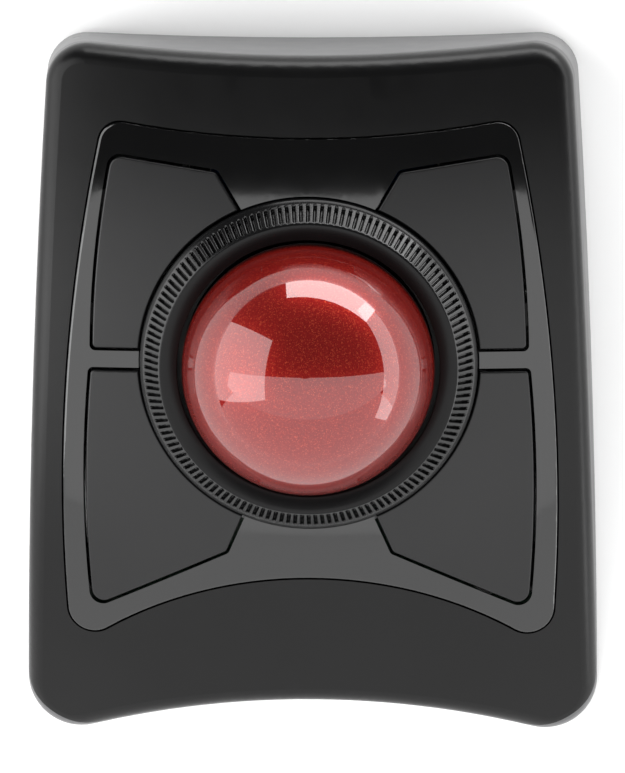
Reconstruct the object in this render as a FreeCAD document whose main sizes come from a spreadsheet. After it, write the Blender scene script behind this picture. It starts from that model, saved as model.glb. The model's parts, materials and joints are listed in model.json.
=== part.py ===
import FreeCAD, Part
import math
import os

import Sketcher

# Four-button desktop trackball: a 55 mm ball in a socket, a knurled scroll ring round it,
# a low wedge-shaped case and the electronics inside.
# Frame: +X to the user's right, +Y to the back, +Z up, origin under the middle at desk level.

V = FreeCAD.Vector
X_AXIS = V(1, 0, 0)
Y_AXIS = V(0, 1, 0)
Z_AXIS = V(0, 0, 1)

doc = FreeCAD.newDocument("trackball")
sheet = doc.addObject("Spreadsheet::Sheet", "Sizes")

SIZES = {
    # ball, its place and the tilt of the ring round it
    "ball_radius": 27.5, "ball_y": 7.0, "ball_z": 37.5, "ring_tilt": 7.5,
    # deck: a crowned surface that falls to the front and to both sides
    "deck_long_radius": 320.0, "deck_cross_radius": 240.0, "deck_below_ball": 4.0,
    # plan of the case at the desk and the lean of its walls over lean_height
    "rear_mid": 78.7, "rear_end": 79.8, "rear_reach": 50.0,
    "side_rear": 60.0, "side_mid": 64.0, "side_front": 65.5,
    "front_mid": -73.5, "front_end": -79.3, "front_reach": 50.0,
    "rear_corner": 9.0, "front_corner": 12.0, "lean_height": 45.0,
    "lean_side": 4.3, "lean_rear_mid": 5.5, "lean_rear_end": 3.1, "lean_front": 9.0,
    "wall": 2.2, "case_bottom": 1.2, "edge_round": 5.0, "parting_rise": 31.8, "parting_fall": 17.2,
    # bezel, button windows and caps
    "bezel_depth": 4.0, "bezel_flange": 4.5, "seam_gap": 0.12,
    "opening_radius": 37.3, "collar_wall": 1.5, "collar_low": -10.0,
    "cap_thickness": 2.0, "cap_gap": 0.6, "cap_edge": 0.5, "bezel_edge": 0.9,
    # hinges of the buttons
    "hinge_x": 50.6, "hinge_depth": 7.4, "pin_radius": 1.0, "pin_play": 0.05, "knuckle_radius": 2.0,
    "knuckle_length": 5.0, "lug_length": 2.4, "lug_play": 0.3,
    # scroll ring
    "ring_inner": 28.6, "crest_radius": 32.3, "crest_height": 1.65, "knurl_radius": 36.3,
    "ring_outer": 36.9, "ring_low": -8.0, "groove_count": 144, "groove_radius": 0.42,
    "skirt_wall": 0.8, "skirt_low": -12.5, "skirt_slots": 72,
    # socket
    "socket_inner": 28.3, "socket_wall": 2.0, "socket_rim": -6.6, "flange_radius": 35.5,
    "flange_top": -8.1, "flange_low": -10.1, "bearing_radius": 1.5, "bearing_play": 0.03,
    "bearing_drop": 38.0,
    # boards, switches and cells
    "board": 1.6, "main_board_z": 6.0, "riser_z": 20.8, "switch_long": 12.8, "switch_wide": 5.8,
    "switch_tall": 6.5, "plunger_radius": 1.2, "plunger_out": 1.0, "press_play": 0.1,
    "cell_radius": 7.1, "cell_length": 49.2, "cell_z": 11.4, "cell_front_y": 50.6, "cell_rear_y": 65.6,
    "foot_radius": 6.0, "screw_radius": 1.25, "screw_head": 2.3, "joint_z": 6.0,
    "door_axis_y": 41.5, "door_axis_z": 2.6, "door_knuckle": 1.4, "door_pin": 0.7,
}

for row, (alias, value) in enumerate(SIZES.items(), start=1):
    sheet.set("A%d" % row, alias)
    sheet.set("B%d" % row, str(value))
    sheet.setAlias("B%d" % row, alias)
doc.recompute()


def size(alias):
    """A driving dimension, read back from the sheet."""
    return float(getattr(sheet, alias))


BALL = V(0, size("ball_y"), size("ball_z"))
TILT = size("ring_tilt")
RING_FRAME = FreeCAD.Placement(BALL, FreeCAD.Rotation(X_AXIS, TILT))
WALL = size("wall")
FLOOR_TOP = size("case_bottom") + WALL
HIGH = 80.0

parts = []


# ---------------------------------------------------------------- document objects

def place(x=0.0, y=0.0, z=0.0, rotation=None):
    return FreeCAD.Placement(V(x, y, z), rotation or FreeCAD.Rotation())


def primitive(kind, name, placement, **expressions):
    """A Part primitive whose sizes are bound to the sheet or to plain expressions of it."""
    item = doc.addObject("Part::" + kind, name)
    item.Label = name
    for prop, expression in expressions.items():
        item.setExpression(prop, expression)
    item.Placement = placement
    return item


def cell(alias, extra=""):
    return "Sizes." + alias + extra


def box(name, length, width, height, placement):
    return primitive("Box", name, placement, Length=length, Width=width, Height=height)


def cylinder(name, radius, height, placement):
    return primitive("Cylinder", name, placement, Radius=radius, Height=height)


def sphere(name, radius, placement):
    return primitive("Sphere", name, placement, Radius=radius)


def cut(name, base, tool):
    item = doc.addObject("Part::Cut", name)
    item.Label = name
    item.Base = base
    item.Tool = tool
    return item


def join(name, items):
    kind = "Part::MultiFuse" if len(items) > 1 else "Part::Compound"
    item = doc.addObject(kind, name)
    item.Label = name
    if len(items) > 1:
        item.Shapes = items
    else:
        item.Links = items
    return item


def group(name, items):
    """Identical pieces that stay separate solids in one node."""
    item = doc.addObject("Part::Compound", name)
    item.Label = name
    item.Links = items
    return item


def keep(item, label):
    item.Label = label
    parts.append(item)
    return item


def feature(label, shape, placement=None):
    item = doc.addObject("Part::Feature", label)
    item.Shape = shape
    if placement:
        item.Placement = placement
    return keep(item, label)


def origin_plane(body, role):
    return [plane for plane in body.Origin.OriginFeatures if plane.Role == role][0]


def sketch_of(body, name, role, points):
    """A closed outline of straight lines, every corner held by two bound dimensions."""
    sketch = body.newObject("Sketcher::SketchObject", name)
    sketch.AttachmentSupport = [(origin_plane(body, role), "")]
    sketch.MapMode = "FlatFace"
    values = [(plain(across), plain(up)) for across, up in points]
    count = len(points)
    for index in range(count):
        start = V(*values[index], 0)
        end = V(*values[(index + 1) % count], 0)
        sketch.addGeometry(Part.LineSegment(start, end), False)
    for index in range(count):
        sketch.addConstraint(Sketcher.Constraint("Coincident", index, 2, (index + 1) % count, 1))
    for index, (across, up) in enumerate(points):
        for kind, expression, value in (("DistanceX", across, values[index][0]),
                                        ("DistanceY", up, values[index][1])):
            number = sketch.addConstraint(Sketcher.Constraint(kind, -1, 1, index, 1, value))
            sketch.setExpression("Constraints[%d]" % number, expression)
    return sketch


def plain(expression):
    """The number that an expression of the sheet gives, for a sketch's first positions."""
    text = expression
    for alias in sorted(SIZES, key=len, reverse=True):
        text = text.replace("Sizes." + alias, repr(size(alias)))
    total = 0.0
    for term in text.replace(" - ", " + -").split(" + "):
        total += float(term)
    return total


def revolved(label, points, placement):
    """A turned piece: a profile of (radius, height) about the body's own Z axis."""
    body = doc.addObject("PartDesign::Body", label)
    sketch = sketch_of(body, label + "_profile", "XZ_Plane", points)
    turn = body.newObject("PartDesign::Revolution", label + "_turn")
    turn.Profile = sketch
    turn.ReferenceAxis = (sketch, ["V_Axis"])
    turn.Angle = 360
    body.Placement = placement
    return keep(body, label)


# ---------------------------------------------------------------- plan outlines

def circle_through(a, b, c):
    """Centre and radius of the circle through three points in the plan."""
    curve = Part.Arc(a, b, c).toShape().Curve
    return curve.Center, curve.Radius


def tangent_centre(first, second, fillet, near):
    """Centre of a corner circle that touches two edge circles, given as (centre, radius, inside)."""
    reach = []
    for centre, radius, inside in (first, second):
        reach.append(radius - fillet if inside else radius + fillet)
    gap = second[0] - first[0]
    along = (reach[0] ** 2 - reach[1] ** 2 + gap.Length ** 2) / (2 * gap.Length)
    across = math.sqrt(reach[0] ** 2 - along ** 2)
    unit = V(gap).normalize()
    normal = V(-unit.y, unit.x, 0)
    options = [first[0] + unit * along + normal * across, first[0] + unit * along - normal * across]
    return min(options, key=lambda point: point.distanceToPoint(near))


def on_circle(circle, towards):
    centre, radius = circle[0], circle[1]
    return centre + V(towards - centre).normalize() * radius


def mirrored(point):
    return V(-point.x, point.y, point.z)


def outline_edges(rear, side, front, rear_corner, front_corner, inset=0.0):
    """Eight arcs: a bowed rear, two sides, a bowed front and four corners.

    rear and front are (y in the middle, x and y near the end) and side is three (x, y) points.
    """
    circles = []
    for mid, reach, end in (rear, front):
        centre, radius = circle_through(V(-reach, end, 0), V(0, mid, 0), V(reach, end, 0))
        inside = (centre.y < mid) == (mid > 0)
        circles.append((centre, radius - inset if inside else radius + inset, inside))
    centre, radius = circle_through(*[V(x, y, 0) for x, y in side])
    flank = (centre, radius - inset, True)
    edges = []
    touches = []
    for ends, corner, near in ((circles[0], rear_corner, side[0]), (circles[1], front_corner, side[2])):
        middle = tangent_centre(ends, flank, corner - inset, V(near[0], near[1], 0))
        touch_end = on_circle(ends, middle) if ends[2] is False else middle + V(
            middle - ends[0]).normalize() * (corner - inset)
        touch_side = middle + V(middle - flank[0]).normalize() * (corner - inset)
        halfway = middle + V((touch_end + touch_side) * 0.5 - middle).normalize() * (corner - inset)
        touches.append((touch_end, halfway, touch_side))
    rear_touch, front_touch = touches
    side_mid = on_circle(flank, (rear_touch[2] + front_touch[2]) * 0.5)
    rear_mid = on_circle(circles[0], V(0, rear[0], 0))
    front_mid = on_circle(circles[1], V(0, front[0], 0))
    runs = [
        (mirrored(rear_touch[0]), rear_mid, rear_touch[0]),
        rear_touch,
        (rear_touch[2], side_mid, front_touch[2]),
        (front_touch[2], front_touch[1], front_touch[0]),
        (front_touch[0], front_mid, mirrored(front_touch[0])),
        tuple(mirrored(point) for point in front_touch),
        (mirrored(front_touch[2]), mirrored(side_mid), mirrored(rear_touch[2])),
        tuple(mirrored(point) for point in reversed(rear_touch)),
    ]
    for start, middle, end in runs:
        edges.append(Part.Arc(start, middle, end).toShape())
    return edges


def prism(edges, low, high):
    face = Part.Face(Part.Wire(edges))
    face.translate(V(0, 0, low))
    return face.extrude(V(0, 0, high - low))


def case_walls(inset, low):
    """The leaning walls of the case as one solid, moved in by inset, from low to lean_height."""
    wires = []
    for level in (low, size("lean_height")):
        share = level / size("lean_height")
        rear = (size("rear_mid") - size("lean_rear_mid") * share, size("rear_reach"),
                size("rear_end") - size("lean_rear_end") * share)
        front = (size("front_mid") + size("lean_front") * share, size("front_reach"),
                 size("front_end") + size("lean_front") * share)
        lean = size("lean_side") * share
        side = [(size("side_rear") - lean, 73.0), (size("side_mid") - lean, -3.0),
                (size("side_front") - lean, -60.0)]
        wire = Part.Wire(outline_edges(rear, side, front, size("rear_corner"), size("front_corner"), inset))
        wire.translate(V(0, 0, level))
        wires.append(wire)
    return Part.makeLoft(wires, True, True)


def deck(depth):
    """Everything below the deck surface, or below a copy of it that lies depth deeper."""
    long_radius = size("deck_long_radius") - depth
    cross_radius = size("deck_cross_radius") - depth
    crown = long_radius - cross_radius
    reach = 75.0
    shoulder = crown + math.sqrt(cross_radius ** 2 - reach ** 2)
    bottom = shoulder - 60.0
    arc = Part.Arc(V(-reach, 0, shoulder), V(0, 0, long_radius), V(reach, 0, shoulder)).toShape()
    sides = Part.makePolygon([V(reach, 0, shoulder), V(reach, 0, bottom),
                              V(-reach, 0, bottom), V(-reach, 0, shoulder)])
    face = Part.Face(Part.Wire([arc] + sides.Edges))
    front_angle, rear_angle = 28.0, 14.0
    face.rotate(V(), X_AXIS, front_angle)
    solid = face.revolve(V(), X_AXIS, -front_angle - rear_angle)
    solid.translate(deck_axis())
    return solid


def deck_axis():
    """The point below the case about which the deck's long curve turns; it lies on the ring's axis."""
    drop = math.sqrt(size("deck_long_radius") ** 2 - size("opening_radius") ** 2) + size("deck_below_ball")
    return RING_FRAME.multVec(V(0, 0, -drop))


def deck_height(x, y):
    axis = deck_axis()
    radius = size("deck_long_radius") - size("deck_cross_radius")
    radius += math.sqrt(size("deck_cross_radius") ** 2 - x * x)
    return axis.z + math.sqrt(radius ** 2 - (y - axis.y) ** 2)


def ring_tube(inner, outer, low, high):
    """A tube about the ring's axis, between two heights above the ball's centre."""
    tube = Part.makeCylinder(outer, high - low, V(0, 0, low))
    if inner > 0:
        tube = tube.cut(Part.makeCylinder(inner, high - low, V(0, 0, low)))
    tube.Placement = RING_FRAME
    return tube


# ---------------------------------------------------------------- case shells

def parting_solid():
    """Everything under the line where the two case shells meet: one curve from the side, one from behind."""
    line = [V(0, 95, 33.5), V(0, 62, 30.5), V(0, 24, 16.5), V(0, -14, 6.4), V(0, -45, 4.6), V(0, -95, 4.6)]
    curve = Part.BSplineCurve()
    curve.interpolate(line)
    below = Part.makePolygon([line[-1], V(0, -95, -5), V(0, 95, -5), line[0]])
    face = Part.Face(Part.Wire([curve.toShape()] + below.Edges))
    face.translate(V(-90, 0, 0))
    reach = 70.0
    crown = V(0, 0, size("parting_rise"))
    left, right = V(-reach, 0, crown.z - size("parting_fall")), V(reach, 0, crown.z - size("parting_fall"))
    under = Part.makePolygon([right, V(reach, 0, -5), V(-reach, 0, -5), left])
    cross = Part.Face(Part.Wire([Part.Arc(left, crown, right).toShape()] + under.Edges))
    cross.translate(V(0, -95, 0))
    return face.extrude(V(180, 0, 0)).common(cross.extrude(V(0, 190, 0)))


def top_rounded(solid, radius):
    """Rounds the edge where the deck meets the leaning walls."""
    edges = []
    for edge in solid.Edges:
        box = edge.BoundBox
        middle = edge.valueAt((edge.FirstParameter + edge.LastParameter) / 2)
        on_deck = abs(middle.z - deck_height(middle.x, middle.y)) < WALL + 0.5
        if on_deck and box.DiagonalLength > 1 and not upright(edge):
            edges.append(edge)
    return solid.makeFillet(radius, edges)


def upright(edge):
    start, end = edge.Vertexes[0].Point, edge.Vertexes[-1].Point
    return abs(start.z - end.z) > math.hypot(start.x - end.x, start.y - end.y)


CASE_LOW = size("case_bottom")
outer_body = top_rounded(case_walls(0, CASE_LOW).common(deck(0)), size("edge_round"))
cavity = case_walls(WALL, FLOOR_TOP).common(deck(WALL))
below_parting = parting_solid()
hollow = outer_body.cut(cavity)

SEAM_REAR = (57.1, 40.0, 60.6)
SEAM_SIDE = [(47.2, 50.0), (54.0, 1.0), (55.2, -42.0)]
SEAM_FRONT = (-41.2, 45.0, -53.6)
SEAM_CORNERS = (5.0, 6.0)


def seam_prism(inset):
    return prism(outline_edges(SEAM_REAR, SEAM_SIDE, SEAM_FRONT, *SEAM_CORNERS, inset), 0, HIGH)


SCREW_SPOTS = [(54.6, 56.0), (-54.6, 56.0), (30.0, -66.5), (-30.0, -66.5)]
FOOT_SPOTS = [(50.0, 66.0), (-50.0, 66.0), (53.0, -66.0), (-53.0, -66.0), (0.0, -61.0)]
JOINT_Z = size("joint_z")


def columns(spots, radius, low, high):
    return Part.makeCompound([Part.makeCylinder(radius, high - low, V(x, y, low)) for x, y in spots])


def block(x, y, z):
    """A box given by its (low, high) pair on each axis."""
    return Part.makeBox(x[1] - x[0], y[1] - y[0], z[1] - z[0], V(x[0], y[0], z[0]))


def make_top_shell():
    """The black upper shell: an open frame round the bezel, with four screw bosses inside."""
    bosses = columns(SCREW_SPOTS, 3.0, JOINT_Z, HIGH).common(cavity)
    shell = hollow.cut(below_parting).fuse(bosses)
    shell = shell.cut(seam_prism(-size("seam_gap")))
    shell = shell.cut(columns(SCREW_SPOTS, size("screw_radius"), JOINT_Z, 12.0))
    return shell


# ---------------------------------------------------------------- buttons

# Windows in the bezel on the left-hand side: corners (x, y, round), where the first and last
# corner are joined by a bowed outer edge through "bow"
WINDOWS = {
    "upper": {"corners": [(-43.3, 54.0, 3.0), (-19.6, 50.2, 1.5), (-12.5, 38.3, 0), (-30.0, 10.35, 0),
                          (-48.2, 10.35, 1.3)],
              "bow": (-46.9, 31.0), "arms": (18.0, 43.0), "switch": (-34.5, 39.0)},
    "lower": {"corners": [(-49.4, -49.6, 3.0), (-18.0, -35.3, 1.5), (-11.5, -20.5, 0), (-30.0, 6.65, 0),
                          (-48.6, 6.65, 1.3)],
              "bow": (-50.3, -20.0), "arms": (-40.0, -4.0), "switch": (-38.0, -29.0)},
}
SIDES = {"left": 1, "right": -1}


def window_prism(row, inset):
    """The upright prism of one left-hand window, made smaller all round by inset."""
    window = WINDOWS[row]
    corners = [V(x, y, 0) for x, y, _ in window["corners"]]
    bow = V(window["bow"][0], window["bow"][1], 0)
    edges = Part.makePolygon(corners).Edges + [Part.Arc(corners[-1], bow, corners[0]).toShape()]
    face = Part.Face(Part.Wire(edges))
    if inset:
        face = Part.Face(face.OuterWire.makeOffset2D(-inset, 2))
    solid = face.extrude(V(0, 0, HIGH))
    for x, y, rounding in window["corners"]:
        if rounding:
            near = min([edge for edge in solid.Edges if upright(edge)],
                       key=lambda edge: math.hypot(edge.Vertexes[0].X - x, edge.Vertexes[0].Y - y))
            solid = solid.makeFillet(rounding - inset / 2, [near])
    return solid


def sided(shape, side):
    """The left-hand shape itself, or its mirror image for the right-hand side."""
    return shape if SIDES[side] == 1 else shape.mirror(V(), X_AXIS)


def hinge_frame(row):
    """Left-hand hinge axis of a button: its own Y runs along the pin."""
    first, last = WINDOWS[row]["arms"]
    x = size("hinge_x")
    rise = deck_height(x, last) - deck_height(x, first)
    angle = math.degrees(math.atan2(rise, last - first))
    middle = (first + last) / 2
    level = deck_height(x, middle) - size("hinge_depth")
    return FreeCAD.Placement(V(-x, middle, level), FreeCAD.Rotation(X_AXIS, angle))


def arm_offsets(row):
    first, last = WINDOWS[row]["arms"]
    half = (last - first) / 2
    return (-half, half)


def along_pin(radius, start, end):
    return Part.makeCylinder(radius, end - start, V(0, start, 0), Y_AXIS)


def plunger_top(row):
    board = size("riser_z") if row == "upper" else size("main_board_z")
    return board + size("board") + size("switch_tall") + size("plunger_out")


def make_cap(row):
    """A button: a plate flush with the deck, two hinged arms and a post over its switch."""
    plate = window_prism(row, size("cap_gap")).common(deck(0)).cut(deck(size("cap_thickness")))
    plate = plate.cut(ring_tube(0, size("opening_radius"), -40, 30))
    plate = plate.makeFillet(size("cap_edge"), [edge for edge in plate.Edges if on_deck_edge(edge)])
    length = size("knuckle_length")
    arms = []
    for offset in arm_offsets(row):
        low, high = offset - length / 2, offset + length / 2
        arm = along_pin(size("knuckle_radius"), low, high)
        arm = arm.fuse(block((0, 8.6), (low, high), (-1.1, 1.1)))
        arm = arm.fuse(block((6.6, 8.6), (low, high), (-1.1, 20)))
        arms.append(arm)
    levers = arms[0].fuse(arms[1])
    levers.Placement = hinge_frame(row)
    x, y = WINDOWS[row]["switch"]
    start = plunger_top(row) + size("press_play")
    post = Part.makeCylinder(1.6, HIGH - start, V(x, y, start))
    under = levers.fuse(post).common(deck(1.0))
    bore = along_pin(size("pin_radius") + size("pin_play"), -60, 60)
    bore.Placement = hinge_frame(row)
    return plate.fuse(under.cut(bore)).removeSplitter()


def on_deck_edge(edge):
    points = [edge.valueAt(edge.FirstParameter + share * (edge.LastParameter - edge.FirstParameter))
              for share in (0.2, 0.5, 0.8)]
    return all(abs(point.z - deck_height(point.x, point.y)) < 0.02 for point in points)


def make_pin(row):
    """The steel pin of one button, from its first lug to its last."""
    first, last = arm_offsets(row)
    beyond = size("knuckle_length") / 2 + size("lug_play") + size("lug_length")
    pin = along_pin(size("pin_radius"), first - beyond, last + beyond)
    pin.Placement = hinge_frame(row)
    return pin


def make_lugs(row):
    """Four lugs that hang from the bezel and hold a button's pin."""
    lugs = []
    step = size("knuckle_length") / 2 + size("lug_play")
    for offset in arm_offsets(row):
        for low in (offset - step - size("lug_length"), offset + step):
            lugs.append(block((-2.0, 2.0), (low, low + size("lug_length")), (-2.2, 20)))
    solid = Part.makeCompound(lugs)
    solid.Placement = hinge_frame(row)
    bore = along_pin(size("pin_radius"), -60, 60)
    bore.Placement = hinge_frame(row)
    return solid.common(deck(size("bezel_depth") - 1.0)).cut(bore)


# ---------------------------------------------------------------- bezel

def make_bezel():
    """Gloss frame round the ring: bands, two cross bars, a collar, a hidden flange and hinge lugs."""
    depth = size("bezel_depth")
    frame = seam_prism(0).common(deck(0)).cut(deck(depth))
    frame = frame.makeFillet(size("bezel_edge"), [edge for edge in frame.Edges if on_deck_edge(edge)])
    flange = seam_prism(-size("bezel_flange")).common(deck(WALL + 0.1)).cut(deck(depth))
    bezel = frame.fuse(flange.cut(seam_prism(2.0)))
    opening = size("opening_radius")
    for row in WINDOWS:
        for side in SIDES:
            bezel = bezel.cut(sided(window_prism(row, 0), side))
            bezel = bezel.fuse(sided(make_lugs(row), side))
    collar = ring_tube(opening, opening + size("collar_wall"), size("collar_low"), 10.0)
    bezel = bezel.fuse(collar.common(deck(depth - 0.6)))
    return bezel.cut(ring_tube(0, opening, -20.0, 30.0)).removeSplitter()


# ---------------------------------------------------------------- scroll ring

def make_scroll_ring():
    """The knurled ring: a domed top, a 45 degree grooved cone and an inward flange that holds it down."""
    inner, outer, low = size("ring_inner"), size("ring_outer"), size("ring_low")
    crest, top = size("crest_radius"), size("crest_height")
    edge = size("knurl_radius")
    foot = top - (edge - crest)
    corners = [(inner, 0.95), (crest - 0.9, top - 0.1), (crest, top), (crest + 0.45, top - 0.35),
               (edge, foot), (outer, foot - 0.55), (outer, low), (crest, low), (crest, low + 1.0),
               (outer - 2.3, low + 1.0), (outer - 2.3, foot - 1.0), (crest - 0.8, top - 2.1), (inner, -0.3)]
    points = [V(radius, 0, height) for radius, height in corners]
    face = Part.Face(Part.makePolygon(points + points[:1]))
    ring = face.revolve(V(), Z_AXIS, 360)
    groove_length = (edge - crest) * math.sqrt(2) - 1.3
    radius = size("groove_radius")
    groove = Part.makeCylinder(radius, groove_length, V(0, 0, -groove_length / 2))
    for end in (-groove_length / 2, groove_length / 2):
        groove = groove.fuse(Part.makeSphere(radius, V(0, 0, end)))
    groove.rotate(V(), Y_AXIS, -45)
    groove.translate(V((crest + edge) / 2 + 0.1, 0, (top + foot) / 2 + 0.1))
    grooves = []
    for index in range(int(size("groove_count"))):
        copy = groove.copy()
        copy.rotate(V(), Z_AXIS, index * 360.0 / size("groove_count"))
        grooves.append(copy)
    return ring.cut(Part.makeCompound(grooves))


def make_encoder_skirt():
    """A thin slotted skirt under the ring that breaks the light of its sensor as it turns."""
    outer = size("ring_outer") - 0.2
    low, high = size("skirt_low"), size("ring_low")
    skirt = Part.makeCylinder(outer, high - low, V(0, 0, low))
    skirt = skirt.cut(Part.makeCylinder(outer - size("skirt_wall"), high - low, V(0, 0, low)))
    slots = []
    for index in range(int(size("skirt_slots"))):
        slot = block((outer - 2, outer + 1), (-0.8, 0.8), (low + 0.8, low + 3.2))
        slot.rotate(V(), Z_AXIS, index * 360.0 / size("skirt_slots"))
        slots.append(slot)
    return skirt.cut(Part.makeCompound(slots))


# ---------------------------------------------------------------- lower case

DOOR_X = 28.0
DOOR_Y = (38.9, 73.8)
RECEIVER_SPOT = (48.0, 20.0)
POWER_SPOT = (-48.0, 12.0)
PAIR_SPOT = (-48.0, 26.0)
SOCKET_POST_RADIUS = 31.0
RISER_POSTS = [(38.5, 35.5), (31.5, 42.5), (-38.5, 35.5), (-31.5, 42.5)]
BOARD_POSTS = [(46.0, -58.0), (-46.0, -58.0), (22.0, -27.5), (-22.0, -27.5)]
DOOR_HINGE_X = (8.0, 15.6)


def around_socket(radius, angles):
    """Plan positions at a radius about the ball's centre."""
    return [(radius * math.cos(math.radians(angle)),
             size("ball_y") + radius * math.sin(math.radians(angle))) for angle in angles]


def make_base_case():
    """The grey lower shell: floor, rear wall and rising sides, with posts, bosses and bays."""
    case = hollow.common(below_parting)
    below_flange = Part.makeBox(200, 200, 100, V(-100, -100, size("flange_low") - 100))
    below_flange.Placement = RING_FRAME
    socket_outside = Part.makeSphere(size("socket_inner") + size("socket_wall"), BALL)
    posts = columns(around_socket(SOCKET_POST_RADIUS, (45, 135, 200, 340)), 2.6, FLOOR_TOP, HIGH)
    additions = [
        posts.common(below_flange).cut(socket_outside),
        columns(SCREW_SPOTS, 3.4, FLOOR_TOP, JOINT_Z),
        columns(RISER_POSTS, 2.2, FLOOR_TOP, size("riser_z")),
        columns(BOARD_POSTS, 2.2, FLOOR_TOP, size("main_board_z")),
        block((-DOOR_X - 2.2, -DOOR_X - 0.7), (45, 73), (FLOOR_TOP, 14)),
        block((DOOR_X + 0.7, DOOR_X + 2.2), (45, 73), (FLOOR_TOP, 14)),
    ]
    x, y = RECEIVER_SPOT
    additions.append(block((x - 9, x + 9), (y - 5, y + 5), (FLOOR_TOP, 13)))
    for addition in additions:
        case = case.fuse(addition)
    openings = [
        columns(SCREW_SPOTS, size("screw_radius") + 0.2, 0, JOINT_Z + 0.1),
        columns(SCREW_SPOTS, size("screw_head") + 0.2, 0, 3.8),
        block((-DOOR_X, DOOR_X), DOOR_Y, (0, FLOOR_TOP + 0.1)),
        block((x - 7.5, x + 7.5), (y - 3.5, y + 3.5), (0, 14)),
        block((POWER_SPOT[0] - 1.8, POWER_SPOT[0] + 5.8), (POWER_SPOT[1] - 1.8, POWER_SPOT[1] + 1.8),
              (0, FLOOR_TOP + 0.1)),
        columns([PAIR_SPOT], 2.8, 0, FLOOR_TOP + 0.1),
    ]
    for opening in openings:
        case = case.cut(opening)
    axis_y, axis_z = size("door_axis_y"), size("door_axis_z")
    for sign in (-1, 1):
        x_low, x_high = sorted(sign * x for x in DOOR_HINGE_X)
        knuckle = Part.makeCylinder(size("door_knuckle"), x_high - x_low, V(x_low, axis_y, axis_z), X_AXIS)
        knuckle = knuckle.fuse(block((x_low, x_high), (DOOR_Y[0] - 1, axis_y), (axis_z - 0.4, axis_z + 1.4)))
        case = case.fuse(knuckle)
    pin_bore = Part.makeCylinder(size("door_pin"), 80, V(-40, axis_y, axis_z), X_AXIS)
    return case.cut(pin_bore.common(block((-40, 40), (DOOR_Y[0], 60), (0, 10)))).removeSplitter()


def make_battery_door():
    """A flat door with two knuckles at its front edge and notches for the case's own knuckles."""
    play = 0.3
    axis_y, axis_z = size("door_axis_y"), size("door_axis_z")
    door = block((-DOOR_X + play, DOOR_X - play), (axis_y - 1.6, DOOR_Y[1] - play),
                 (CASE_LOW, CASE_LOW + 1.6))
    for sign in (-1, 1):
        x_low, x_high = sorted(sign * x for x in (16.0, 24.0))
        knuckle = Part.makeCylinder(size("door_knuckle"), x_high - x_low, V(x_low, axis_y, axis_z), X_AXIS)
        door = door.fuse(knuckle)
        x_low, x_high = sorted(sign * x for x in DOOR_HINGE_X)
        door = door.cut(block((x_low - play, x_high + play), (axis_y - 3, axis_y + 2.0), (0, 5)))
    bore = Part.makeCylinder(size("door_pin") + size("pin_play"), 80, V(-40, axis_y, axis_z), X_AXIS)
    clear_middle = block((-7.6, 7.6), (axis_y - 3, axis_y + 1.0), (0, 5))
    return door.cut(bore).cut(clear_middle).removeSplitter()


# ---------------------------------------------------------------- pieces with free shapes

feature("top_shell", make_top_shell())
feature("button_bezel", make_bezel())
for row in WINDOWS:
    cap = make_cap(row)
    for side in SIDES:
        feature("%s_%s_button" % (row, side), sided(cap, side))
pins = [sided(make_pin(row), side) for row in WINDOWS for side in SIDES]
feature("button_hinge_pins", Part.makeCompound(pins))
feature("scroll_ring", make_scroll_ring(), RING_FRAME)
feature("encoder_skirt", make_encoder_skirt(), RING_FRAME)
feature("base_case", make_base_case())
feature("battery_door", make_battery_door())


# ---------------------------------------------------------------- ball, socket and ring hardware

SENSOR_FRAME = FreeCAD.Placement(BALL, FreeCAD.Rotation(X_AXIS, 140))
RING_SENSOR_FRAME = RING_FRAME.multiply(FreeCAD.Placement(V(), FreeCAD.Rotation(Z_AXIS, -120)))


def local(frame, x=0.0, y=0.0, z=0.0):
    return frame.multiply(FreeCAD.Placement(V(x, y, z), FreeCAD.Rotation()))


def bearing_placements():
    """Three bearings under the ball, spread evenly and well below its middle."""
    reach = size("ball_radius") + size("bearing_radius") + size("bearing_play")
    drop = math.radians(size("bearing_drop"))
    out, down = reach * math.cos(drop), -reach * math.sin(drop)
    placements = []
    for angle in (90, 210, 330):
        turn = math.radians(angle)
        placements.append(local(RING_FRAME, out * math.cos(turn), out * math.sin(turn), down))
    return placements


keep(sphere("ball", "Sizes.ball_radius", FreeCAD.Placement(BALL, FreeCAD.Rotation())), "trackball")

spots = bearing_placements()
bearings = [sphere("bearing_%d" % number, "Sizes.bearing_radius", spot)
            for number, spot in enumerate(spots, start=1)]
keep(group("bearings", bearings), "socket_bearings")

socket_solids = [
    sphere("socket_outside", "Sizes.socket_inner + Sizes.socket_wall", RING_FRAME),
    cylinder("socket_flange", "Sizes.flange_radius", "Sizes.flange_top - Sizes.flange_low",
             local(RING_FRAME, z=size("flange_low"))),
    cylinder("socket_neck", "Sizes.socket_inner + Sizes.socket_wall + 1.3",
             "Sizes.socket_rim - Sizes.flange_low", local(RING_FRAME, z=size("flange_low"))),
]
for number, spot in enumerate(spots, start=1):
    socket_solids.append(sphere("bearing_seat_%d" % number, "Sizes.bearing_radius + 1.3", spot))
for number, x in enumerate((-7.0, 7.0), start=1):
    socket_solids.append(cylinder("sensor_peg_%d" % number, "1.6", "34.0 - Sizes.socket_inner - 0.5",
                                  local(SENSOR_FRAME, x=x, z=size("socket_inner") + 0.5)))
socket_tools = [
    sphere("socket_inside", "Sizes.socket_inner", RING_FRAME),
    box("socket_open_top", "90", "90", "60", local(RING_FRAME, -45, -45, size("socket_rim"))),
    cylinder("socket_window", "4", "10", local(SENSOR_FRAME, z=24.0)),
]
for number, spot in enumerate(spots, start=1):
    socket_tools.append(sphere("bearing_hole_%d" % number, "Sizes.bearing_radius", spot))
keep(cut("socket", join("socket_solid", socket_solids), join("socket_tool", socket_tools)), "ball_socket")

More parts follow.
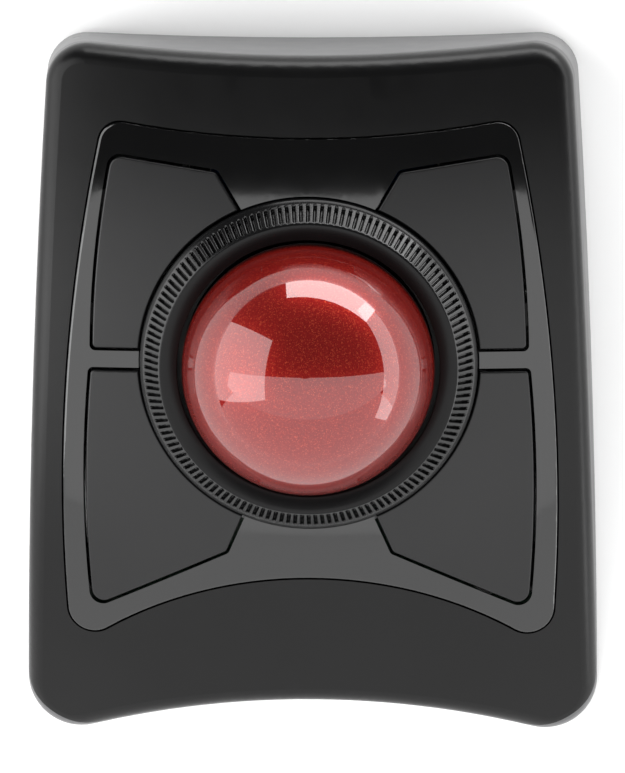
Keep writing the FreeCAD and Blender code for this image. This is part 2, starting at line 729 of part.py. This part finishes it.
revolved("ring_retainer", [
    ("Sizes.socket_inner + 0.5", "Sizes.socket_rim"),
    ("Sizes.ring_outer - 2.7", "Sizes.socket_rim"),
    ("Sizes.ring_outer - 2.7", "Sizes.socket_rim + 0.8"),
    ("Sizes.ring_outer - 3.1", "Sizes.socket_rim + 1.2"),
    ("Sizes.socket_inner + 0.5", "Sizes.socket_rim + 1.2"),
], RING_FRAME)

lens = join("lens_solid", [
    cylinder("lens_barrel", "3.6", "2.6", local(SENSOR_FRAME, z=28.6)),
    box("lens_plate", "10.4", "10", "1", local(SENSOR_FRAME, -5.2, -5.0, 31.0)),
])
keep(lens, "sensor_lens")
keep(box("sensor_chip_box", "8", "8", "2", local(SENSOR_FRAME, -4.0, -4.0, 32.0)), "optical_sensor")
keep(box("sensor_board_box", "18", "16", "Sizes.board", local(SENSOR_FRAME, -9.0, -8.0, 34.0)),
     "sensor_board")

arms = join("ring_sensor_solid", [
    box("ring_sensor_base", "5.4", "7", "2", local(RING_SENSOR_FRAME, 33.6, -3.5, -15.0)),
    box("ring_sensor_inner_arm", "1.8", "7", "4.7", local(RING_SENSOR_FRAME, 33.6, -3.5, -15.0)),
    box("ring_sensor_outer_arm", "1.8", "7", "4.7", local(RING_SENSOR_FRAME, 37.2, -3.5, -15.0)),
])
keep(arms, "ring_sensor")
keep(box("ring_sensor_board_box", "12", "12", "Sizes.board",
         local(RING_SENSOR_FRAME, 30.0, -6.0, -15.0 - size("board"))), "ring_sensor_board")


def make_ring_sensor_post():
    """A standoff from the main board to the tilted board of the ring sensor."""
    base = size("main_board_z") + size("board")
    below = Part.makeBox(60, 60, 60, V(0, -30, -75.0 - size("board")))
    below.Placement = RING_SENSOR_FRAME
    return Part.makeCylinder(1.8, 30, V(-20.0, -26.0, base)).common(below)


feature("ring_sensor_post", make_ring_sensor_post())

# ---------------------------------------------------------------- boards and switches

MAIN_TOP = size("main_board_z") + size("board")
keep(box("main_board_box", "100", "39", "Sizes.board", place(-50, -62, size("main_board_z"))), "main_board")
for side, x in (("left", -42.0), ("right", 27.0)):
    keep(box("riser_%s_box" % side, "15", "12", "Sizes.board", place(x, 33, size("riser_z"))),
         "riser_board_%s" % side)

for row in WINDOWS:
    board_top = (size("riser_z") if row == "upper" else size("main_board_z")) + size("board")
    for side in SIDES:
        name = "%s_%s" % (row, side)
        x, y = WINDOWS[row]["switch"]
        x *= SIDES[side]
        body = box(name + "_switch_box", "Sizes.switch_long", "Sizes.switch_wide", "Sizes.switch_tall",
                   place(x - size("switch_long") / 2, y - size("switch_wide") / 2, board_top))
        well = cylinder(name + "_switch_well", "Sizes.plunger_radius + Sizes.pin_play", "4",
                        place(x, y, board_top + size("switch_tall") - 3.0))
        keep(cut(name + "_switch_cut", body, well), name + "_switch")
        keep(cylinder(name + "_plunger_rod", "Sizes.plunger_radius", "Sizes.plunger_out + 2",
                      place(x, y, board_top + size("switch_tall") - 2.0)), name + "_plunger")

keep(box("controller_box", "9", "9", "1.2", place(-4.5, -52, MAIN_TOP)), "controller_chip")
radio = join("radio_solid", [
    box("radio_board", "18", "13", "0.8", place(24, -56, MAIN_TOP)),
    box("radio_can", "12", "11", "1.8", place(25, -55, MAIN_TOP + 0.8)),
])
keep(radio, "radio_module")
keep(cylinder("capacitor_can", "2.5", "5", place(-22, -52, MAIN_TOP)), "supply_capacitor")

# ---------------------------------------------------------------- cells and their contacts

PLATE_X = DOOR_X + 0.2
CELL_Z = size("cell_z")
CELLS = {"front": (size("cell_front_y"), 1), "rear": (size("cell_rear_y"), -1)}

for name, (y, sign) in CELLS.items():
    turn = FreeCAD.Rotation(Y_AXIS, 90 * sign)
    nub_start = sign * (PLATE_X - 1.0)
    can = cylinder(name + "_can", "Sizes.cell_radius", "Sizes.cell_length",
                   place(nub_start - sign * size("cell_length"), y, CELL_Z, turn))
    nub = cylinder(name + "_nub", "2.7", "1", place(nub_start, y, CELL_Z, turn))
    keep(join(name + "_cell_solid", [can, nub]), name + "_cell")

plates = []
for number, x in enumerate((-PLATE_X - 0.5, PLATE_X), start=1):
    plates.append(box("contact_plate_%d" % number, "0.5", "25", "9", place(x, 46, 4.5)))
keep(group("contact_plates", plates), "battery_contacts")


def make_battery_spring(y, sign):
    """A bowed leaf that presses on the flat end of a cell."""
    reach = 2 * PLATE_X - 1.0 - size("cell_length")
    half_width, strip, thickness = 6.0, 5.0, 0.35
    arcs = []
    for inset in (0, thickness):
        half = half_width - inset
        arcs.append((V(0, -half, 0), V(reach - inset, 0, 0), V(0, half, 0)))
    outside, inside = [Part.Arc(*points).toShape() for points in arcs]
    ends = [Part.makeLine(arcs[0][end], arcs[1][end]) for end in (0, 2)]
    face = Part.Face(Part.Wire(Part.__sortEdges__([outside, inside] + ends)))
    leaf = face.extrude(V(0, 0, strip))
    leaf.translate(V(-PLATE_X, y, CELL_Z - strip / 2))
    return leaf if sign == 1 else leaf.mirror(V(), X_AXIS)


leaves = [make_battery_spring(y, sign) for y, sign in CELLS.values()]
feature("battery_springs", Part.makeCompound(leaves))

# ---------------------------------------------------------------- small controls and fasteners

keep(cylinder("door_pin_rod", "Sizes.door_pin", "48",
              place(-24, size("door_axis_y"), size("door_axis_z"), FreeCAD.Rotation(Y_AXIS, 90))),
     "door_hinge_pin")

x, y = POWER_SPOT
PLATE_LOW = FLOOR_TOP + 0.1
power_knob = join("power_knob_solid", [
    box("power_knob_stem", "3", "3", "3.2", place(x - 1.5, y - 1.5, 0.7)),
    box("power_knob_plate", "9", "6", "0.8", place(x - 3.5, y - 3.0, PLATE_LOW)),
])
keep(power_knob, "power_switch_knob")
keep(box("power_switch_box", "11", "6", "3", place(x - 3.5, y - 3.0, PLATE_LOW + 1.0)), "power_switch_body")

x, y = PAIR_SPOT
pair_button = join("pair_button_solid", [
    cylinder("pair_button_stem", "2.5", "3.2", place(x, y, 0.8)),
    cylinder("pair_button_plate", "3.6", "0.8", place(x, y, PLATE_LOW)),
])
keep(pair_button, "pair_button")
keep(box("pair_switch_box", "7", "7", "3.5", place(x - 3.5, y - 3.5, PLATE_LOW + 1.5)), "pair_switch")

x, y = RECEIVER_SPOT
keep(box("receiver_housing_box", "14.6", "6.6", "6", place(x - 7.3, y - 3.3, 1.4)), "receiver_housing")
keep(box("receiver_plug_box", "12", "4.5", "5.6", place(x - 6, y - 2.25, 7.4)), "receiver_plug")

feet = [cylinder("foot_%d" % number, "Sizes.foot_radius", "Sizes.case_bottom", place(x, y, 0))
        for number, (x, y) in enumerate(FOOT_SPOTS, start=1)]
keep(group("feet", feet), "rubber_feet")

screws = []
for number, (x, y) in enumerate(SCREW_SPOTS, start=1):
    head = cylinder("screw_head_%d" % number, "Sizes.screw_head", "1.6", place(x, y, 2.2))
    shank = cylinder("screw_shank_%d" % number, "Sizes.screw_radius", "7.7", place(x, y, 3.8))
    socket = primitive("Prism", "screw_recess_%d" % number, place(x, y, 2.1), Circumradius="1.1",
                       Height="1.1")
    socket.Polygon = 6
    screws.append(cut("screw_%d" % number, join("screw_solid_%d" % number, [head, shank]), socket))
keep(group("screws", screws), "case_screws")

# ---------------------------------------------------------------- checks and files

doc.recompute()
problems = [item.Label for item in doc.Objects if {"Invalid", "Error"} & set(item.State)]
for item in parts:
    if item.Shape.isNull() or not item.Shape.isValid() or not item.Shape.Solids:
        problems.append(item.Label)
if problems:
    raise RuntimeError("these pieces did not build: " + ", ".join(problems))

os.makedirs("parts", exist_ok=True)
for item in parts:
    item.Shape.exportStep("parts/%s.step" % item.Label)
print("%d nodes written" % len(parts))
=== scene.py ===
import json
import math

import bpy
from mathutils import Matrix, Vector


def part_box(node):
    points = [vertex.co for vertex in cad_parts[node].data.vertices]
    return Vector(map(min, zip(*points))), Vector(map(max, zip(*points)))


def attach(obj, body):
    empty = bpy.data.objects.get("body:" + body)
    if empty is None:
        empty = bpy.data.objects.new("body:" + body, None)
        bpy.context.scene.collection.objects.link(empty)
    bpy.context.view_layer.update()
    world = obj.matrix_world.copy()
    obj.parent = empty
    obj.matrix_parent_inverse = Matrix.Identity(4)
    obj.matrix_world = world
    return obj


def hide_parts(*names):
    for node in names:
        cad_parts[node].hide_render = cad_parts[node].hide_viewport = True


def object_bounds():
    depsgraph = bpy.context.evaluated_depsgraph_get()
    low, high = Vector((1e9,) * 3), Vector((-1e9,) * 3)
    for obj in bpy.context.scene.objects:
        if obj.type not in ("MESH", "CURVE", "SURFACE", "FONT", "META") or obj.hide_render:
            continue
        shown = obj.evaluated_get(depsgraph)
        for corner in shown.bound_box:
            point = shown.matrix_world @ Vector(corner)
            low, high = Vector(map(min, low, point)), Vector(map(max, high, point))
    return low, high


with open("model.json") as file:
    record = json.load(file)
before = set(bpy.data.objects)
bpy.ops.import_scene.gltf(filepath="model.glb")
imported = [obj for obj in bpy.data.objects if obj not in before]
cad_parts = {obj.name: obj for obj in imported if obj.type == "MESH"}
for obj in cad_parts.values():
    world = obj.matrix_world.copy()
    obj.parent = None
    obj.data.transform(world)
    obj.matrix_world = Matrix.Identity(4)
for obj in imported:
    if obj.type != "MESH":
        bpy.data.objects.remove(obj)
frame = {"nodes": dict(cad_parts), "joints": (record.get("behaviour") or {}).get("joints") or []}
nodes = frame["nodes"]
cad_low, cad_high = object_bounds()
scene = bpy.context.scene

ball_low, ball_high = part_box("trackball")
BALL = (ball_low + ball_high) / 2


# ---------------------------------------------------------------- materials
def shader(name, **values):
    """A material with a Principled shader whose sockets are set to the given values."""
    material = bpy.data.materials.new("finish_" + name)
    material.use_nodes = True
    tree = material.node_tree
    bsdf = tree.nodes["Principled BSDF"]
    for key, value in values.items():
        bsdf.inputs[key.replace("_", " ")].default_value = value
    return material, tree, bsdf


def add(tree, kind, **settings):
    """A node of that kind; settings name its properties, or its sockets when they match one."""
    node = tree.nodes.new(kind)
    for key, value in settings.items():
        if hasattr(node, key):
            setattr(node, key, value)
        else:
            node.inputs[key.replace("_", " ")].default_value = value
    return node


def object_point(tree):
    return add(tree, "ShaderNodeTexCoord").outputs["Object"]


def noise(tree, scale, detail=2.0):
    """Soft noise from 0 to 1 in the piece's own coordinates; scale counts features per metre."""
    node = add(tree, "ShaderNodeTexNoise", Scale=scale, Detail=detail)
    tree.links.new(object_point(tree), node.inputs["Vector"])
    return node.outputs["Fac"]


def ramp(tree, value, *stops):
    """A colour ramp over (position, colour) stops."""
    node = tree.nodes.new("ShaderNodeValToRGB")
    elements = node.color_ramp.elements
    while len(elements) < len(stops):
        elements.new(0.5)
    for element, (position, colour) in zip(elements, stops):
        element.position = position
        element.color = (*colour, 1)
    tree.links.new(value, node.inputs["Fac"])
    return node.outputs["Color"]


def spread(tree, value, low, high):
    """The 0 to 1 value taken to low..high."""
    node = add(tree, "ShaderNodeMapRange", To_Min=low, To_Max=high)
    tree.links.new(value, node.inputs["Value"])
    return node.outputs["Result"]


def bump(tree, bsdf, height, distance, strength=1.0):
    """Roughen the surface by the height value; distance is in metres."""
    node = add(tree, "ShaderNodeBump", Strength=strength, Distance=distance)
    tree.links.new(height, node.inputs["Height"])
    tree.links.new(node.outputs["Normal"], bsdf.inputs["Normal"])


CLOUD_SCALE = 45.0
SHEEN_SCALE = 160.0


def moulded(name, dark, light, rough_low, rough_high, grain=3000.0, depth=0.00002, **values):
    """A moulded or rolled surface: fine grain, slightly uneven colour and sheen."""
    material, tree, bsdf = shader(name, **values)
    cloud = ramp(tree, noise(tree, CLOUD_SCALE, 3.0), (0.35, dark), (0.65, light))
    tree.links.new(cloud, bsdf.inputs["Base Color"])
    sheen = spread(tree, noise(tree, SHEEN_SCALE, 4.0), rough_low, rough_high)
    tree.links.new(sheen, bsdf.inputs["Roughness"])
    bump(tree, bsdf, noise(tree, grain), depth)
    return material


soft_black = moulded("soft_black", (0.0018, 0.0018, 0.0019), (0.0024, 0.0024, 0.0025), 0.28, 0.34,
                     4200, 0.00001, Specular_IOR_Level=0.20)
button_grey = moulded("button_grey", (0.0045, 0.0045, 0.0048), (0.0055, 0.0055, 0.0058), 0.28, 0.34,
                      4200, 0.00001, Specular_IOR_Level=0.30)
gloss_black = moulded("gloss_black", (0.0010, 0.0010, 0.0011), (0.0014, 0.0014, 0.0015), 0.05, 0.09,
                      900, 0.000001, Specular_IOR_Level=0.60)
ring_black = moulded("ring_black", (0.0030, 0.0030, 0.0032), (0.004, 0.004, 0.0042), 0.20, 0.26,
                     2500, 0.000004, Specular_IOR_Level=0.15)
ring_grip = moulded("ring_grip", (0.0020, 0.0020, 0.0022), (0.003, 0.003, 0.0032), 0.16, 0.22,
                    2500, 0.000004, Specular_IOR_Level=0.38)
silver_grey = moulded("silver_grey", (0.074, 0.074, 0.076), (0.086, 0.086, 0.088), 0.30, 0.38,
                      3000, 0.00001, Metallic=0.30)
inner_black = moulded("inner_black", (0.006, 0.006, 0.006), (0.009, 0.009, 0.009), 0.45, 0.6, 1500)
chip_black = moulded("chip_black", (0.010, 0.010, 0.010), (0.016, 0.016, 0.016), 0.5, 0.6, 6000, 0.00001)
foot_rubber = moulded("foot_rubber", (0.012, 0.012, 0.012), (0.02, 0.02, 0.02), 0.75, 0.9, 2500, 0.00004)
ceramic = moulded("ceramic", (0.75, 0.74, 0.70), (0.82, 0.81, 0.78), 0.12, 0.2, 1500, 0.000002)
plunger_red = moulded("plunger_red", (0.35, 0.02, 0.015), (0.42, 0.03, 0.02), 0.35, 0.45)
steel = moulded("steel", (0.50, 0.50, 0.50), (0.62, 0.62, 0.61), 0.22, 0.36, 1200, 0.000004, Metallic=1.0)
board_green = moulded("board_green", (0.010, 0.085, 0.030), (0.016, 0.12, 0.045), 0.3, 0.42, 800, 0.00001)
cell_wrap = moulded("cell_wrap", (0.02, 0.06, 0.16), (0.03, 0.08, 0.20), 0.22, 0.3, 600, 0.000004)


def lens_material():
    """Clear moulded acrylic."""
    material, tree, bsdf = shader("lens_clear", Roughness=0.05, IOR=1.49, Transmission_Weight=0.9)
    tint = ramp(tree, noise(tree, 300.0), (0.3, (0.8, 0.85, 0.9)), (0.7, (0.9, 0.93, 0.95)))
    tree.links.new(tint, bsdf.inputs["Base Color"])
    return material


FLAKES_PER_METRE = 5200.0


def ball_material():
    """Deep red resin with fine metallic flakes under a hard clear coat."""
    material, tree, bsdf = shader("ball_red", Metallic=0.55, Specular_IOR_Level=0.0, Coat_Weight=1.0,
                                  Coat_Roughness=0.02, Coat_IOR=1.6)
    flakes = add(tree, "ShaderNodeTexVoronoi", Scale=FLAKES_PER_METRE)
    tree.links.new(object_point(tree), flakes.inputs["Vector"])
    bright = ramp(tree, flakes.outputs["Color"], (0.0, (0.13, 0.004, 0.004)), (0.70, (0.18, 0.007, 0.006)),
                  (1.0, (0.36, 0.045, 0.02)))
    tree.links.new(bright, bsdf.inputs["Base Color"])
    sheen = spread(tree, noise(tree, 500.0, 3.0), 0.34, 0.42)
    tree.links.new(sheen, bsdf.inputs["Roughness"])
    bump(tree, bsdf, flakes.outputs["Distance"], 0.00002, 0.3)
    return material


lens_clear = lens_material()
ball_red = ball_material()
finishes = (soft_black, button_grey, gloss_black, ring_black, silver_grey, inner_black, chip_black,
            foot_rubber, ceramic, plunger_red, steel, board_green, cell_wrap, lens_clear, ball_red)
by_slot = {finish.name.removeprefix("finish_"): finish for finish in finishes}
for node in nodes.values():
    for index, packed in enumerate(node.data.materials):
        node.data.materials[index] = by_slot[packed.name.split(".")[0]]


def mesh_object(name, points, faces):
    """A smooth mesh of those points and faces, linked to the scene."""
    mesh = bpy.data.meshes.new(name)
    mesh.from_pydata(points, [], faces)
    mesh.validate()
    mesh.polygons.foreach_set("use_smooth", [True] * len(mesh.polygons))
    made = bpy.data.objects.new(name, mesh)
    scene.collection.objects.link(made)
    return made


# ---------------------------------------------------------------- scroll ring
ring_low, ring_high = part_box("scroll_ring")
RING_OUTER = (ring_high.x - ring_low.x) / 2
ring_axis = next(Vector(joint["axis"]) for joint in frame["joints"] if joint["name"] == "ring_spin")
RIBS = 144
# Levels are heights above the ball's centre, along the ring's axis.
INNER = RING_OUTER - 0.0083
CREST, CREST_LEVEL = RING_OUTER - 0.0046, 0.00165
RIM = RING_OUTER - 0.0006
SKIRT_LOW = -0.008
SKIRT_INNER = RING_OUTER - 0.0023
EDGE = 0.0002
CONE = (RIM - CREST) * math.sqrt(2)
SLOT_HALF, SLOT_DEPTH, SLOT_EDGE, SLOT_MARGIN = 0.00043, 0.0011, 0.00022, 0.00095
# Places along the cone, close together where a slot begins and ends.
CONE_STEPS = (0.0002, 0.00042, 0.00056, 0.00066, 0.00076, 0.0009, 0.0011, 0.0016, 0.0028284, 0.0040,
              0.0045, 0.0047, 0.0048, 0.0049, 0.0050, 0.00512, 0.0053, 0.0055)
# Places across one rib's pitch, close together at a slot's lips.
PITCH_SHARES = (-0.5, -0.38, -0.31, -0.27, -0.23, -0.18, -0.10, 0.0, 0.10, 0.18, 0.23, 0.27, 0.31, 0.38)


def slot_depth(across, along):
    """How deep the cone is cut at a point: slots with round ends and softly rounded lips."""
    beyond = max(0.0, abs(along - CONE / 2) - (CONE / 2 - SLOT_MARGIN))
    inside = (SLOT_HALF - math.hypot(across, beyond)) / SLOT_EDGE
    share = min(1.0, max(0.0, inside))
    return SLOT_DEPTH * share * share * (3 - 2 * share)


def ring_profile():
    """(radius, level, place along the cone or None) round one section of the ring, closed."""
    points = [(INNER, -0.0003, None), (INNER, 0.0008, None), (INNER + 0.00005, 0.00090, None),
              (INNER + 0.00018, 0.00097, None), (CREST - 0.0010, 0.00152, None),
              (CREST - 0.0005, 0.00163, None), (CREST - 0.0001, CREST_LEVEL, None)]
    for along in CONE_STEPS:
        step = along / math.sqrt(2)
        points.append((CREST + step, CREST_LEVEL - step, along))
    points += [(RING_OUTER - EDGE, -0.0026, None), (RING_OUTER, -0.0030, None),
               (RING_OUTER, SKIRT_LOW + EDGE, None), (RING_OUTER - EDGE, SKIRT_LOW, None),
               (CREST + EDGE / 2, SKIRT_LOW, None), (CREST, SKIRT_LOW + EDGE / 2, None),
               (CREST, SKIRT_LOW + 0.001, None), (SKIRT_INNER, SKIRT_LOW + 0.001, None),
               (SKIRT_INNER, -0.00335, None), (CREST - 0.0008, -0.00045, None)]
    return points


def make_ring():
    """The scroll ring as one closed mesh: the profile swept round, pressed in at each slot."""
    profile = ring_profile()
    pitch = 2 * math.pi / RIBS
    points, faces, grips = [], [], []
    for rib in range(RIBS):
        for share in PITCH_SHARES:
            angle = (rib + share) * pitch
            for radius, level, along in profile:
                if along is not None:
                    depth = slot_depth(share * pitch * radius, along) / math.sqrt(2)
                    radius, level = radius - depth, level - depth
                points.append((radius * math.cos(angle), radius * math.sin(angle), level))
    columns, count = RIBS * len(PITCH_SHARES), len(profile)
    for column in range(columns):
        here, there = column * count, (column + 1) % columns * count
        for index in range(count):
            after = (index + 1) % count
            faces.append((here + index, there + index, there + after, here + after))
            grips.append(profile[index][2] is not None and profile[after][2] is not None)
    made = mesh_object("scroll_ring_knurled", points, faces)
    made.data.materials.append(ring_black)
    made.data.materials.append(ring_grip)
    made.data.polygons.foreach_set("material_index", [int(grip) for grip in grips])
    turn = Vector((0, 0, 1)).rotation_difference(ring_axis)
    made.data.transform(Matrix.Translation(BALL) @ turn.to_matrix().to_4x4())
    return made


knurled = make_ring()
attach(knurled, "ring")
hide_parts("scroll_ring")


# ---------------------------------------------------------------- stage
def pale_material():
    """The plain studio floor."""
    material, tree, bsdf = shader("pale_floor", Roughness=0.9)
    paint = ramp(tree, noise(tree, 8.0), (0.3, (0.90, 0.90, 0.90)), (0.7, (0.92, 0.92, 0.92)))
    tree.links.new(paint, bsdf.inputs["Base Color"])
    return material


FLOOR = 3.0
FLOOR_GAP = 0.0002
WORLD_STRENGTH = 0.09

floor_corners = [(-FLOOR, -FLOOR, 0), (FLOOR, -FLOOR, 0), (FLOOR, FLOOR, 0), (-FLOOR, FLOOR, 0)]
floor = mesh_object("floor", floor_corners, [(0, 1, 2, 3)])
floor.location.z = cad_low.z - FLOOR_GAP
floor.data.materials.append(pale_material())


def around(azimuth, elevation, distance):
    """A point at that azimuth (0 is +Y, 90 is +X) and elevation from the ball."""
    a, e = math.radians(azimuth), math.radians(elevation)
    return BALL + distance * Vector((math.sin(a) * math.cos(e), math.cos(a) * math.cos(e), math.sin(e)))


def panel(name, azimuth, elevation, distance, half_across, half_up, radiance):
    """A softbox that fills that many degrees either side of a direction, seen from the ball."""
    data = bpy.data.lights.new(name, "AREA")
    data.shape = "RECTANGLE"
    data.size = 2 * distance * math.tan(math.radians(half_across))
    data.size_y = 2 * distance * math.tan(math.radians(half_up))
    data.energy = radiance * data.size * data.size_y * math.pi
    made = bpy.data.objects.new(name, data)
    made.location = around(azimuth, elevation, distance)
    made.rotation_mode = "QUATERNION"
    made.rotation_quaternion = (BALL - made.location).to_track_quat("-Z", "Y")
    scene.collection.objects.link(made)


world = bpy.data.worlds.new("studio")
world.use_nodes = True
sky = world.node_tree.nodes["Background"]
sky.inputs["Color"].default_value = (1, 1, 1, 1)
sky.inputs["Strength"].default_value = WORLD_STRENGTH
scene.world = world

panel("front_high_box", 180, 69, 0.9, 74, 19, 2.35)
panel("front_low_box", 180, 24, 0.9, 68, 26, 1.9)
panel("left_box", -84, 26, 1.5, 28, 27, 3.9)
panel("right_box", 82, 8, 1.5, 42, 9, 4.0)
panel("rear_box", 17, 7, 1.0, 32, 11, 9.0)

# ---------------------------------------------------------------- camera
CAMERA_FROM_BALL = Vector((0.0194, 0.0740, 0.7285))
AIM_FROM_BALL = Vector((0.000491, -0.005715, -0.0175))

camera_data = bpy.data.cameras.new("camera")
camera_data.lens = 156.95
camera_data.sensor_width = 36.0
camera_data.clip_start, camera_data.clip_end = 0.05, 20
camera = bpy.data.objects.new("camera", camera_data)
camera.location = BALL + CAMERA_FROM_BALL
back = (camera.location - (BALL + AIM_FROM_BALL)).normalized()
right = Vector((0, 1, 0)).cross(back).normalized()
up = back.cross(right)
camera.rotation_mode = "QUATERNION"
camera.rotation_quaternion = Matrix((right, up, back)).transposed().to_quaternion()
scene.collection.objects.link(camera)
scene.camera = camera
scene.view_settings.view_transform = "Standard"
